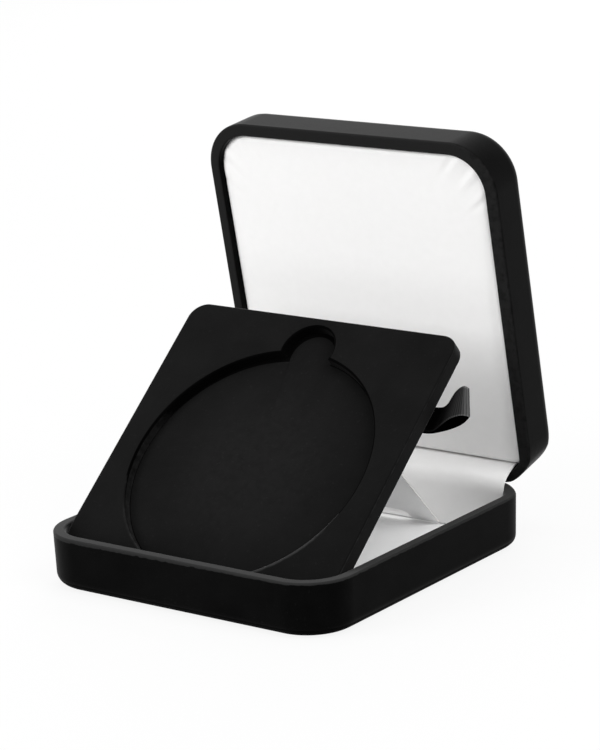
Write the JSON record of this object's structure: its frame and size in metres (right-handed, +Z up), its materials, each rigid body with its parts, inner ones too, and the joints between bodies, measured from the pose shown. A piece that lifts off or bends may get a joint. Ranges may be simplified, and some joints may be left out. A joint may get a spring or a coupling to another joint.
{
  "type": "medal presentation case",
  "caption": "Square flocked hinged case with a satin-padded lid and a velour tray, raised on a card stay, whose round recess holds a medal.",
  "frame": {"origin": "middle of the case's flat underside, halfway across its width and its front-to-back depth", "axes": "+X to the side where the ribbon pull hangs out, -Y to the front where the tray's low edge is, +Z up"},
  "size_m": [0.1096, 0.1175, 0.1187],
  "materials": {
    "flocked_plastic": "black velour flock on moulded polystyrene",
    "velour": "black velour",
    "satin": "white satin with a soft sheen",
    "white_card": "white coated card",
    "grey_board": "plain grey board",
    "ribbon": "black woven satin ribbon",
    "spring_steel": "bright rolled steel"
  },
  "bodies": {
    "base": {"base_shell": "flocked_plastic", "floor_card": "white_card", "rear_card": "white_card", "hinge_strip": "satin", "base_hinge_leaf": "spring_steel", "hinge_pin": "spring_steel", "hinge_spring": "spring_steel", "base_rivet_left": "spring_steel", "base_rivet_right": "spring_steel", "tray_stay": "white_card"},
    "lid": {"lid_shell": "flocked_plastic", "lid_pad": "satin", "pad_card": "grey_board", "lid_hinge_leaf": "spring_steel", "lid_rivet_left": "spring_steel", "lid_rivet_right": "spring_steel"},
    "tray": {"tray_platform": "velour", "recess_floor": "velour", "tray_backing": "white_card", "tray_pin_left": "spring_steel", "tray_pin_right": "spring_steel", "ribbon_pull": "ribbon"}
  },
  "joints": [
    {"name": "lid_hinge", "type": "hinge", "parent": "base", "child": "lid", "pos_m": [0, 0.0513, 0.01565], "axis": [-1, 0, 0], "range_deg": [-80, 0], "deforming": ["hinge_strip", "lid_pad", "hinge_spring"]},
    {"name": "tray_tilt", "type": "hinge", "parent": "base", "child": "tray", "pos_m": [0, -0.0459, 0.0065], "axis": [1, 0, 0], "range_deg": [-40, 0], "deforming": ["tray_stay", "ribbon_pull"]}
  ],
  "couplings": [
    {"joint": "tray_tilt", "follows": "lid_hinge", "ratio": 0.5}
  ]
}
